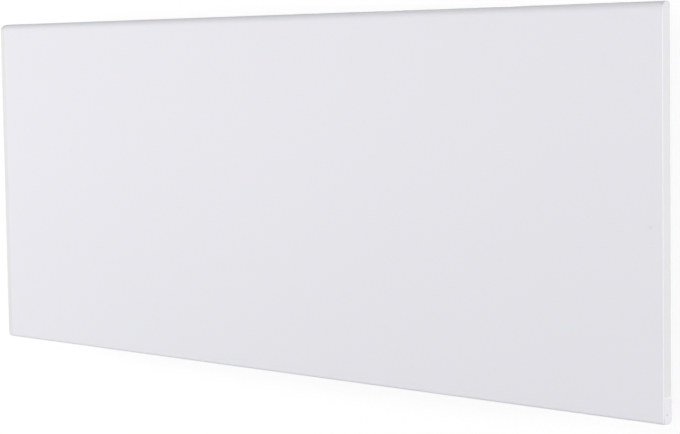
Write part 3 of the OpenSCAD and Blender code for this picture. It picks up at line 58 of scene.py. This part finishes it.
def add_camera():
    """The camera at the photograph's place, looking the photograph's way."""
    forward = Vector((
        math.sin(CAMERA_YAW) * math.cos(CAMERA_PITCH),
        math.cos(CAMERA_YAW) * math.cos(CAMERA_PITCH),
        math.sin(CAMERA_PITCH),
    ))
    level_right = Vector((math.cos(CAMERA_YAW), -math.sin(CAMERA_YAW), 0))
    level_up = level_right.cross(forward)
    c, s = math.cos(CAMERA_ROLL), math.sin(CAMERA_ROLL)
    right = level_right * c + level_up * s
    up = level_up * c - level_right * s
    data = bpy.data.cameras.new("camera")
    data.sensor_fit = "HORIZONTAL"
    data.sensor_width = SENSOR_MM
    data.lens = FOCAL_PX * SENSOR_MM / IMAGE_WIDTH
    data.clip_start = CLIP_START
    data.clip_end = CLIP_END
    camera = bpy.data.objects.new("camera", data)
    bpy.context.scene.collection.objects.link(camera)
    turn = Matrix((right, up, -forward)).transposed()
    camera.matrix_world = Matrix.Translation(CAMERA_AT) @ turn.to_4x4()
    bpy.context.scene.camera = camera


add_camera()


class Nodes:
    """A node tree with short calls for adding and joining nodes."""

    def __init__(self, tree):
        self.tree = tree
        tree.nodes.clear()

    def fill(self, socket, value):
        """Joins a socket to another node's output, or sets it to a constant."""
        if isinstance(value, bpy.types.NodeSocket):
            self.tree.links.new(value, socket)
        else:
            socket.default_value = value

    def add(self, kind, settings=None, **inputs):
        """A new node with its settings, and its inputs by name with _ for a space."""
        made = self.tree.nodes.new(kind)
        for name, value in (settings or {}).items():
            setattr(made, name, value)
        for name, value in inputs.items():
            self.fill(made.inputs[name.replace("_", " ")], value)
        return made

    def math(self, operation, a, b):
        """The output of a Math node that works on a and b."""
        made = self.add("ShaderNodeMath", {"operation": operation})
        self.fill(made.inputs[0], a)
        self.fill(made.inputs[1], b)
        return made.outputs[0]

    def spread(self, source, low, high):
        """source, which runs from 0 to 1, brought between low and high."""
        made = self.add("ShaderNodeMapRange", To_Min=low, To_Max=high)
        self.fill(made.inputs["Value"], source)
        return made.outputs["Result"]

    def seen(self):
        """1 for the camera's rays, reflections and rays through glass, and 0 for light on things."""
        path = self.add("ShaderNodeLightPath").outputs
        direct = self.math("MAXIMUM", path["Is Camera Ray"], path["Is Glossy Ray"])
        return self.math("MAXIMUM", direct, path["Is Transmission Ray"])

    def pair(self, kind, first, second, **inputs):
        """A shader that mixes or adds two others."""
        made = self.add(kind, **inputs)
        shaders = [socket for socket in made.inputs if socket.type == "SHADER"]
        self.fill(shaders[0], first.outputs[0])
        self.fill(shaders[1], second.outputs[0])
        return made


# How far the gloss wanders about a material's roughness, and the least roughness
GLOSS_SPREAD = 0.06
ROUGHNESS_MIN = 0.02
# The depth of the relief in metres, and the octaves of the slow and the fine noise
RELIEF_DEPTH = 0.0002
SLOW_DETAIL = 3.0
FINE_DETAIL = 4.0


def shade(colour, factor):
    """A colour made lighter or darker, with full alpha."""
    return tuple(min(1.0, c * factor) for c in colour) + (1.0,)


def surface(name, colour, roughness, metallic=0.0, spread=0.03, patch=6.0, grain=900.0,
            bump=0.02, stretch=(1, 1, 1), pattern="noise", specular=0.5):
    """A procedural material: slow colour patches, uneven gloss and a fine relief."""
    made = bpy.data.materials.new(name)
    made.use_nodes = True
    n = Nodes(made.node_tree)
    place = n.add("ShaderNodeTexCoord").outputs["Object"]
    moved = n.add("ShaderNodeMapping", Vector=place, Scale=stretch).outputs["Vector"]
    if pattern == "spangle":
        fine = n.add("ShaderNodeTexVoronoi", Vector=moved, Scale=grain)
        tone = n.add("ShaderNodeSeparateColor", Color=fine.outputs["Color"]).outputs[0]
        height = fine.outputs["Distance"]
        gloss_tone = tone
    else:
        slow = n.add("ShaderNodeTexNoise", Vector=moved, Scale=patch, Detail=SLOW_DETAIL)
        fine = n.add("ShaderNodeTexNoise", Vector=moved, Scale=grain, Detail=FINE_DETAIL)
        tone = slow.outputs["Fac"]
        height = fine.outputs["Fac"]
        gloss_tone = height
    ramp = n.add("ShaderNodeMix", {"data_type": "RGBA"})
    n.fill([s for s in ramp.inputs if s.type == "VALUE"][0], tone)
    low_end, high_end = [s for s in ramp.inputs if s.type == "RGBA"]
    low_end.default_value = shade(colour, 1 - spread)
    high_end.default_value = shade(colour, 1 + spread)
    ramp_colour = [s for s in ramp.outputs if s.type == "RGBA"][0]
    gloss = n.spread(gloss_tone, max(ROUGHNESS_MIN, roughness - GLOSS_SPREAD),
                     min(1.0, roughness + GLOSS_SPREAD))
    relief = n.add("ShaderNodeBump", Strength=bump, Distance=RELIEF_DEPTH, Height=height)
    shader = n.add("ShaderNodeBsdfPrincipled", Metallic=metallic, Roughness=gloss,
                   Normal=relief.outputs["Normal"], Base_Color=ramp_colour,
                   Specular_IOR_Level=specular)
    n.add("ShaderNodeOutputMaterial", Surface=shader.outputs["BSDF"])
    return made


FRONT = (0.815, 0.815, 0.86)
CASING = (0.80, 0.80, 0.82)
CAP = (0.755, 0.755, 0.765)
KEY = (0.80, 0.80, 0.83)

material = {
    "white_steel": surface("powder_coat_white", FRONT, roughness=0.5, spread=0.006, grain=700,
                           bump=0.05, specular=0.3),
    "casing_steel": surface("powder_coat_casing", CASING, roughness=0.45, spread=0.01, grain=700,
                            bump=0.08),
    "white_plastic": surface("moulded_white", CAP, roughness=0.4, spread=0.006, grain=1500,
                             bump=0.06),
    "key_plastic": surface("moulded_key", KEY, roughness=0.42, spread=0.006, grain=1500, bump=0.06),
    "frosted_plastic": surface("frosted_lens", (0.75, 0.755, 0.79), roughness=0.4, spread=0.02,
                               bump=0.05),
    "clear_plastic": surface("smoked_lens", (0.64, 0.64, 0.67), roughness=0.2),
    "black_plastic": surface("moulded_black", (0.022, 0.022, 0.024), roughness=0.42, spread=0.2,
                             grain=1600, bump=0.25),
    "board": surface("solder_mask", (0.02, 0.14, 0.055), roughness=0.3, spread=0.25, patch=120,
                     grain=400, bump=0.3),
    "galvanised_steel": surface("galvanised", (0.60, 0.61, 0.63), roughness=0.38, metallic=1.0,
                                spread=0.07, pattern="spangle", grain=240, bump=0.05),
    "bracket_steel": surface("galvanised_bracket", (0.56, 0.57, 0.59), roughness=0.4, metallic=1.0,
                             spread=0.08, pattern="spangle", grain=220, bump=0.06),
    "rod_steel": surface("heated_rod", (0.20, 0.185, 0.17), roughness=0.38, metallic=1.0,
                         spread=0.25, patch=60, bump=0.15),
    "fin_aluminium": surface("mill_aluminium", (0.76, 0.77, 0.78), roughness=0.3, metallic=1.0,
                             spread=0.05, patch=30, grain=500, bump=0.12, stretch=(1, 0.06, 1)),
    "ceramic": surface("unglazed_ceramic", (0.80, 0.76, 0.68), roughness=0.7, spread=0.06, patch=80,
                       grain=1200, bump=0.3),
    "brass": surface("bright_brass", (0.78, 0.56, 0.24), roughness=0.3, metallic=1.0, spread=0.08,
                     patch=120, bump=0.08),
    "phenolic": surface("phenolic", (0.045, 0.042, 0.040), roughness=0.5, spread=0.2, grain=1200,
                        bump=0.3),
    "grey_plastic": surface("moulded_grey", (0.50, 0.51, 0.52), roughness=0.45, grain=1500,
                            bump=0.2),
    "zinc": surface("bright_zinc", (0.68, 0.69, 0.70), roughness=0.3, metallic=1.0, spread=0.08,
                    patch=200, bump=0.1),
    "silicone": surface("red_silicone", (0.35, 0.055, 0.03), roughness=0.55, spread=0.08, bump=0.1),
    "white_silicone": surface("white_sleeve", (0.74, 0.72, 0.68), roughness=0.55, spread=0.05,
                              grain=1500, bump=0.3),
    "brown_jacket": surface("brown_insulation", (0.09, 0.035, 0.016), roughness=0.4, spread=0.1,
                            bump=0.1),
    "earth_jacket": surface("earth_insulation", (0.22, 0.40, 0.03), roughness=0.4, spread=0.3,
                            patch=60, bump=0.1),
    "grey_jacket": surface("grey_insulation", (0.11, 0.11, 0.115), roughness=0.45, spread=0.1,
                           bump=0.1),
    "grey_rubber": surface("soft_bumper", (0.16, 0.165, 0.17), roughness=0.65, spread=0.1,
                           grain=1200, bump=0.4),
}
print_grey = surface("printed_grey", (0.10, 0.10, 0.105), roughness=0.6, spread=0.08, grain=2500,
                     bump=0.1)
# Paler than the cap: a painted highlight for the bright line along the gap over the standby key
painted_highlight_seal = surface("painted_highlight_seal", (0.90, 0.90, 0.91), roughness=0.55, spread=0.01, grain=1500,
                     bump=0.1)
print_white = surface("printed_white", (0.74, 0.74, 0.74), roughness=0.55, spread=0.04, grain=2500,
                      bump=0.1)

CASING_NODES = ("rear_casing", "casing_end_left", "casing_end_right", "outlet_grille", "inlet_grille")
slot_of = {row["node"]: row["material_slot"] for row in frame["record"]["subparts"]}
for node_name, thing in nodes.items():
    chosen = "casing_steel" if node_name in CASING_NODES else slot_of[node_name]
    thing.data.materials.clear()
    thing.data.materials.append(material[chosen])


def join_part(bm, part):
    """Adds a finished bmesh to another and frees it."""
    mesh = bpy.data.meshes.new("part")
    part.to_mesh(mesh)
    part.free()
    bm.from_mesh(mesh)
    bpy.data.meshes.remove(mesh)


def add_box(bm, low, high, bevel):
    """A block between two corners with bevelled edges."""
    part = bmesh.new()
    bmesh.ops.create_cube(part, size=1)
    low, high = Vector(low), Vector(high)
    bmesh.ops.scale(part, vec=high - low, verts=part.verts)
    bmesh.ops.translate(part, vec=(high + low) / 2, verts=part.verts)
    bmesh.ops.bevel(part, geom=part.edges[:], offset=bevel, segments=2, affect="EDGES",
                    clamp_overlap=True)
    join_part(bm, part)


def add_drop(bm, at, radius, height):
    """A low dome of solder on a face that looks along +X."""
    part = bmesh.new()
    bmesh.ops.create_uvsphere(part, u_segments=12, v_segments=8, radius=1)
    bmesh.ops.scale(part, vec=(height, radius, radius), verts=part.verts)
    bmesh.ops.translate(part, vec=at, verts=part.verts)
    join_part(bm, part)


def add_plate(bm, outline, x0, x1):
    """A thin plate whose outline is given in Y and Z, between two depths in X."""
    low = [bm.verts.new((x0, y, z)) for y, z in outline]
    high = [bm.verts.new((x1, y, z)) for y, z in outline]
    bm.faces.new(high)
    bm.faces.new(low[::-1])
    for i in range(len(outline)):
        j = (i + 1) % len(outline)
        bm.faces.new((low[i], low[j], high[j], high[i]))


def add_band(bm, inner, outer):
    """Faces between two rows of points, closed into a ring when the rows are rings."""
    first = [bm.verts.new(p) for p in inner]
    second = [bm.verts.new(p) for p in outer]
    for i in range(len(first) - 1):
        bm.faces.new((first[i], second[i], second[i + 1], first[i + 1]))


def add_numeral(bm, body, height, y, z, x, depth):
    """A numeral that stands upright on a face that looks along +X."""
    curve = bpy.data.curves.new("numeral", "FONT")
    curve.body = body
    curve.size = height
    curve.align_x = "CENTER"
    curve.align_y = "CENTER"
    curve.extrude = depth / 2
    curve.resolution_u = 4
    holder = bpy.data.objects.new("numeral", curve)
    flat = bpy.data.meshes.new_from_object(holder)
    flat.transform(Matrix(((0, 0, 1, x + depth / 2), (1, 0, 0, y), (0, 1, 0, z), (0, 0, 0, 1))))
    bm.from_mesh(flat)
    bpy.data.meshes.remove(flat)
    bpy.data.objects.remove(holder)
    bpy.data.curves.remove(curve)


def finish_piece(name, bm, paint, body):
    """Turns a bmesh into a piece that moves with a body."""
    data = bpy.data.meshes.new(name)
    bmesh.ops.recalc_face_normals(bm, faces=bm.faces)
    bm.to_mesh(data)
    bm.free()
    data.materials.append(paint)
    made = bpy.data.objects.new(name, data)
    bpy.context.scene.collection.objects.link(made)
    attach(made, body)


# Height of printed marks over the face that they are on
INK = 0.00006

# The dial: numbers, ticks from one number to the next, and sizes outward from the knob
DIAL_STEPS = 6
TICKS_PER_STEP = 4
TICK_GAP = 0.0027
MAIN_TICK = 0.0016
SMALL_TICK = 0.0009
MAIN_TICK_HALF = 0.00022
SMALL_TICK_HALF = 0.00013
NUMERAL_GAP = 0.0062
NUMERAL_HEIGHT = 0.0034


def add_dial_marks():
    """Ticks and numbers round the knob, over the range that it turns."""
    knob_low, knob_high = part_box("thermostat_knob")
    face_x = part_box("control_fascia")[1].x
    y, z = (knob_low.y + knob_high.y) / 2, (knob_low.z + knob_high.z) / 2
    knob_radius = (knob_high.z - knob_low.z) / 2
    ticks = DIAL_STEPS * TICKS_PER_STEP
    turn = math.radians(joint["thermostat_turn"]["range_deg"][1])
    bm = bmesh.new()
    for i in range(ticks + 1):
        a = turn * i / ticks
        across, along = Vector((math.cos(a), -math.sin(a))), Vector((math.sin(a), math.cos(a)))
        main = i % TICKS_PER_STEP == 0
        near = knob_radius + TICK_GAP
        far = near + (MAIN_TICK if main else SMALL_TICK)
        half = MAIN_TICK_HALF if main else SMALL_TICK_HALF
        corners = [along * near - across * half, along * near + across * half,
                   along * far + across * half, along * far - across * half]
        add_plate(bm, [(y + c.x, z + c.y) for c in corners], face_x - INK, face_x + INK)
        if main:
            spot = along * (knob_radius + NUMERAL_GAP)
            add_numeral(bm, str(i // TICKS_PER_STEP), NUMERAL_HEIGHT, y + spot.x, z + spot.y,
                        face_x - INK, 2 * INK)
    finish_piece("dial_marks", bm, print_grey, "heater")


# The line on the knob's pointer: depth, half width, and where it runs from the knob's middle
POINTER_DEPTH = 0.0004
POINTER_HALF = 0.0005
POINTER_FROM = 0.0032
POINTER_TO = 0.0112
POINTER_BEVEL = 0.00004


def add_pointer_mark():
    """A dark line let into the top of the knob's raised pointer."""
    low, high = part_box("thermostat_knob")
    y, z = (low.y + high.y) / 2, (low.z + high.z) / 2
    bm = bmesh.new()
    add_box(bm, (high.x - POINTER_DEPTH, y - POINTER_HALF, z + POINTER_FROM),
            (high.x + INK, y + POINTER_HALF, z + POINTER_TO), POINTER_BEVEL)
    finish_piece("pointer_mark", bm, print_grey, "knob")


# The rocker's hollow face, seen from its pivot, and the two marks on it
HOLLOW_RADIUS = 0.017
HOLLOW_CENTRE = 0.0196
BAR_FOOT = -0.0056
BAR_LENGTH = 0.0032
BAR_HALF = 0.00035
BAR_STEPS = 8
RING_MIDDLE = 0.004
RING_RADII = (0.0010, 0.0016)
RING_STEPS = 40


def add_rocker_marks():
    """The on and off marks, laid on the rocker's hollow face as it rests."""
    pivot = Vector(joint["rocker_tilt"]["pos_m"])
    tilt = math.radians(joint["rocker_tilt"]["range_deg"][1] / 2)
    c, s = math.cos(tilt), math.sin(tilt)

    def on_face(y, v):
        """The point of the face at y across it and v along it from the pivot."""
        u = HOLLOW_CENTRE - math.sqrt(HOLLOW_RADIUS ** 2 - v ** 2) + INK
        return pivot + Vector((u * c - v * s, y, u * s + v * c))

    bm = bmesh.new()
    rows = [BAR_FOOT + BAR_LENGTH * k / BAR_STEPS for k in range(BAR_STEPS + 1)]
    add_band(bm, [on_face(-BAR_HALF, v) for v in rows], [on_face(BAR_HALF, v) for v in rows])
    ring = [math.tau * k / RING_STEPS for k in range(RING_STEPS + 1)]
    add_band(bm, *([on_face(r * math.cos(a), RING_MIDDLE + r * math.sin(a)) for a in ring]
                   for r in RING_RADII))
    finish_piece("rocker_marks", bm, print_white, "switch_rocker")


# The pale strip in the key's gaps, a painted highlight: its gaps, its depths behind the key's face, and its lip on
# the cap
SEAL_CLEAR = 0.00002
SEAL_RISE = 0.00028
SEAL_BACK = 0.0021
SEAL_FRONT = 0.0007
SEAL_FOOT = 0.0045
SEAL_SHORT = 0.0002
LIP_PROUD = 0.0003
LIP_HEIGHT = 0.0012
LIP_SHORT = 0.0008
LIP_BEVEL = 0.00008
PANEL_SHEET = 0.0008


def add_key_gap_painted_highlight():
    """A pale strip in the gap above the key and in front of it, with a lip on the cap: a painted highlight along
    the key's top edge, paler than the cap.
    """
    low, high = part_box("standby_key")
    cap_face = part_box("right_end_cap")[1].x
    y0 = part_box("front_panel")[0].y + PANEL_SHEET + SEAL_CLEAR
    y1 = low.y - SEAL_CLEAR
    y2 = high.y - SEAL_SHORT
    foot = low.z + SEAL_FOOT
    over_key = high.z + SEAL_CLEAR
    top = high.z + SEAL_RISE
    bm = bmesh.new()
    outline = [(y0, foot), (y1, foot), (y1, over_key), (y2, over_key), (y2, top), (y0, top)]
    add_plate(bm, outline, high.x - SEAL_BACK, high.x - SEAL_FRONT)
    add_box(bm, (cap_face - INK, low.y, over_key),
            (cap_face + LIP_PROUD, high.y - LIP_SHORT, high.z + LIP_HEIGHT), LIP_BEVEL)
    finish_piece("key_gap_painted_highlight", bm, painted_highlight_seal, "heater")


# Chips on the control board: Y and Z from its front top corner, and pins on each side
CHIPS = ((0.0105, -0.0115, 7), (0.0225, -0.0115, 4))
CHIP_HALF = 0.002
CHIP_RISE = 0.0015
CHIP_MARGIN = 0.0003
CHIP_BEVEL = 0.00015
PIN_PITCH = 0.00127
PIN_FROM = 0.0018
PIN_TO = 0.0031
PIN_HALF = 0.0002
PIN_RISE = 0.0004
PIN_BEVEL = 0.00008

# Rows of small resistors: first Y and Z, steps in Y and Z, and number, from the foot or the top
FOOT_ROWS = ((0.003, 0.0028, 0.0035, 0, 8), (0.0285, 0.021, 0, 0.0032, 5))
TOP_ROWS = ((0.0045, -0.0175, 0.004, 0, 6),)
RESISTOR_HALF_WIDTH = 0.0006
RESISTOR_HALF_LENGTH = 0.001
RESISTOR_RISE = 0.0006
RESISTOR_BEVEL = 0.0001
DROP_OUT = 0.0012
DROP_RADIUS = 0.0007
DROP_RISE = 0.0004


def add_board_parts():
    """Small parts and solder on the front of the control board."""
    face_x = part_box("thermostat_body")[0].x
    low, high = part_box("control_board")
    chips, legs, resistors = bmesh.new(), bmesh.new(), bmesh.new()
    for chip_y, chip_z, pins in CHIPS:
        y, z = low.y + chip_y, high.z + chip_z
        half = pins * PIN_PITCH / 2 + CHIP_MARGIN
        add_box(chips, (face_x, y - half, z - CHIP_HALF),
                (face_x + CHIP_RISE, y + half, z + CHIP_HALF), CHIP_BEVEL)
        for k in range(pins):
            pin_y = y + (k - (pins - 1) / 2) * PIN_PITCH
            for side in (-1, 1):
                ends = sorted((z + side * PIN_FROM, z + side * PIN_TO))
                add_box(legs, (face_x, pin_y - PIN_HALF, ends[0]),
                        (face_x + PIN_RISE, pin_y + PIN_HALF, ends[1]), PIN_BEVEL)
    places = []
    for rows, edge_z in ((FOOT_ROWS, low.z), (TOP_ROWS, high.z)):
        for start_y, start_z, step_y, step_z, count in rows:
            places += [(low.y + start_y + step_y * k, edge_z + start_z + step_z * k)
                       for k in range(count)]
    for y, z in places:
        add_box(resistors, (face_x, y - RESISTOR_HALF_WIDTH, z - RESISTOR_HALF_LENGTH),
                (face_x + RESISTOR_RISE, y + RESISTOR_HALF_WIDTH, z + RESISTOR_HALF_LENGTH),
                RESISTOR_BEVEL)
        for side in (-1, 1):
            add_drop(legs, (face_x, y, z + side * DROP_OUT), DROP_RADIUS, DROP_RISE)
    finish_piece("board_chips", chips, material["black_plastic"], "heater")
    finish_piece("board_resistors", resistors, material["phenolic"], "heater")
    finish_piece("board_solder", legs, material["zinc"], "heater")


add_dial_marks()
add_pointer_mark()
add_rocker_marks()
add_key_gap_painted_highlight()
add_board_parts()

# The world's light on the object, and the share of it that is lost straight above and won below
WORLD_LIGHT = 0.395
WORLD_FALL = 0.35


def add_world():
    """White where it is seen, and a soft light on the object that fades upwards."""
    world = bpy.data.worlds.new("studio")
    bpy.context.scene.world = world
    world.use_nodes = True
    n = Nodes(world.node_tree)
    seen = n.seen()
    toward = n.add("ShaderNodeTexCoord").outputs["Generated"]
    rise = n.add("ShaderNodeSeparateXYZ", Vector=toward).outputs["Z"]
    strength = n.math("SUBTRACT", WORLD_LIGHT, n.math("MULTIPLY", rise, WORLD_LIGHT * WORLD_FALL))
    light = n.add("ShaderNodeBackground", Color=(1, 1, 1, 1), Strength=strength)
    ground = n.add("ShaderNodeBackground", Color=(1, 1, 1, 1), Strength=1.0)
    both = n.pair("ShaderNodeMixShader", light, ground, Fac=seen)
    n.add("ShaderNodeOutputWorld", Surface=both.outputs[0])


# Name, azimuth and elevation in degrees, distance and width in metres, power in watts
LAMPS = [
    ("key_lamp", 33, 15, 3.0, 0.5, 12.0),
    ("side_lamp", 75, 5, 2.5, 0.8, 26.7),
    ("left_lamp", -40, 3, 2.4, 0.7, 22.4),
    ("back_lamp", -140, 14, 3.2, 0.6, 40.0),
]


def add_lamp(name, azimuth, elevation, distance, width, power):
    """A square lamp at an azimuth from the heater's front, aimed back at the heater's middle."""
    a, e = math.radians(azimuth), math.radians(elevation)
    out = Vector((math.sin(a) * math.cos(e), -math.cos(a) * math.cos(e), math.sin(e)))
    data = bpy.data.lights.new(name, "AREA")
    data.shape = "SQUARE"
    data.size = width
    data.energy = power
    made = bpy.data.objects.new(name, data)
    bpy.context.scene.collection.objects.link(made)
    made.location = out * distance
    made.rotation_mode = "QUATERNION"
    made.rotation_quaternion = (-out).to_track_quat("-Z", "Y")
    made.visible_camera = False


add_world()
for row in LAMPS:
    add_lamp(*row)


def ground_material(name, lit, own):
    """White to the camera where it is lit, a little darker in shadow, clear from behind."""
    made = bpy.data.materials.new(name)
    made.use_nodes = True
    n = Nodes(made.node_tree)
    matt = n.add("ShaderNodeBsdfDiffuse", Color=(lit, lit, lit, 1))
    glow = n.add("ShaderNodeEmission", Color=(1, 1, 1, 1), Strength=n.math("MULTIPLY", n.seen(), own))
    clear = n.add("ShaderNodeBsdfTransparent")
    behind = n.add("ShaderNodeNewGeometry").outputs["Backfacing"]
    both = n.pair("ShaderNodeAddShader", matt, glow)
    one_sided = n.pair("ShaderNodeMixShader", both, clear, Fac=behind)
    n.add("ShaderNodeOutputMaterial", Surface=one_sided.outputs[0])
    return made


def sheet(name, corners, paint):
    """A flat sheet of the studio with four corners."""
    data = bpy.data.meshes.new(name)
    data.from_pydata(corners, [], [(0, 1, 2, 3)])
    made = bpy.data.objects.new(name, data)
    data.materials.append(paint)
    bpy.context.scene.collection.objects.link(made)
    return made


# The floor and the wall in metres: the wall stands a hair behind the bracket's back
FLOOR_Z = -1.2
FLOOR_HALF = 6
WALL_Y = 0.0008
WALL_HALF = 1.8
WALL_TOP = 1.4

# The share of light that each of them gives back, and its own glow
WALL_LIT, WALL_OWN = 0.2, 0.832
FLOOR_LIT, FLOOR_OWN = 0.4, 0.88

wall = sheet("wall", [(-WALL_HALF, WALL_Y, FLOOR_Z), (WALL_HALF, WALL_Y, FLOOR_Z),
                      (WALL_HALF, WALL_Y, WALL_TOP), (-WALL_HALF, WALL_Y, WALL_TOP)],
             ground_material("wall_white", WALL_LIT, WALL_OWN))
floor = sheet("floor", [(-FLOOR_HALF, -FLOOR_HALF, FLOOR_Z), (FLOOR_HALF, -FLOOR_HALF, FLOOR_Z),
                        (FLOOR_HALF, FLOOR_HALF, FLOOR_Z), (-FLOOR_HALF, FLOOR_HALF, FLOOR_Z)],
              ground_material("floor_white", FLOOR_LIT, FLOOR_OWN))
wall.visible_shadow = False
wall.visible_diffuse = False
floor.visible_diffuse = False

bpy.context.scene.view_settings.view_transform = "Standard"
